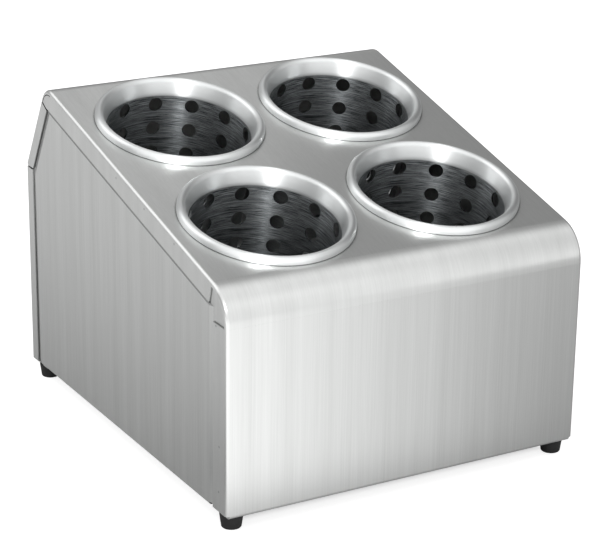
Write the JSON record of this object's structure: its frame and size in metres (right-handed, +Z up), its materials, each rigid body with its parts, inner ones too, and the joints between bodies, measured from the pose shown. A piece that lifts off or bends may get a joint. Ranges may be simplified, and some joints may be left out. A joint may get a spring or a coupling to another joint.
{
  "type": "cutlery dispenser",
  "caption": "Countertop cutlery dispenser: folded steel housing with a sloping top, lift-out perforated cylinders that hang by their rims, rubber feet.",
  "frame": {"origin": "on the counter, under the middle of the housing", "axes": "+X to the right seen from the low front, +Y from the low front to the tall rear, +Z up"},
  "size_m": [0.264, 0.304, 0.226],
  "materials": {
    "housing_steel": "brushed, lengthwise on the front and rear, fine satin on the top",
    "side_steel": "brushed upright",
    "cylinder_steel": "polished rim, drawn wall with fine rings",
    "base_steel": "pressed, dull",
    "foot_rubber": "matte black",
    "fastener_steel": "zinc plated"
  },
  "bodies": {
    "housing": {"housing_wrap": "housing_steel", "left_side_panel": "side_steel", "right_side_panel": "side_steel", "front_left_foot": "foot_rubber", "front_right_foot": "foot_rubber", "rear_left_foot": "foot_rubber", "rear_right_foot": "foot_rubber", "foot_screws": "fastener_steel", "foot_washers": "fastener_steel", "foot_nuts": "fastener_steel"},
    "front_left_holder": {"front_left_cylinder": "cylinder_steel", "front_left_base": "base_steel"},
    "front_right_holder": {"front_right_cylinder": "cylinder_steel", "front_right_base": "base_steel"},
    "rear_left_holder": {"rear_left_cylinder": "cylinder_steel", "rear_left_base": "base_steel"},
    "rear_right_holder": {"rear_right_cylinder": "cylinder_steel", "rear_right_base": "base_steel"}
  },
  "joints": [
    {"name": "front_left_lift", "type": "slide", "parent": "housing", "child": "front_left_holder", "axis": [0, -0.2487, 0.9686], "range_m": [0, 0.15]},
    {"name": "front_right_lift", "type": "slide", "parent": "housing", "child": "front_right_holder", "axis": [0, -0.2487, 0.9686], "range_m": [0, 0.15]},
    {"name": "rear_left_lift", "type": "slide", "parent": "housing", "child": "rear_left_holder", "axis": [0, -0.2487, 0.9686], "range_m": [0, 0.15]},
    {"name": "rear_right_lift", "type": "slide", "parent": "housing", "child": "rear_right_holder", "axis": [0, -0.2487, 0.9686], "range_m": [0, 0.15]}
  ]
}
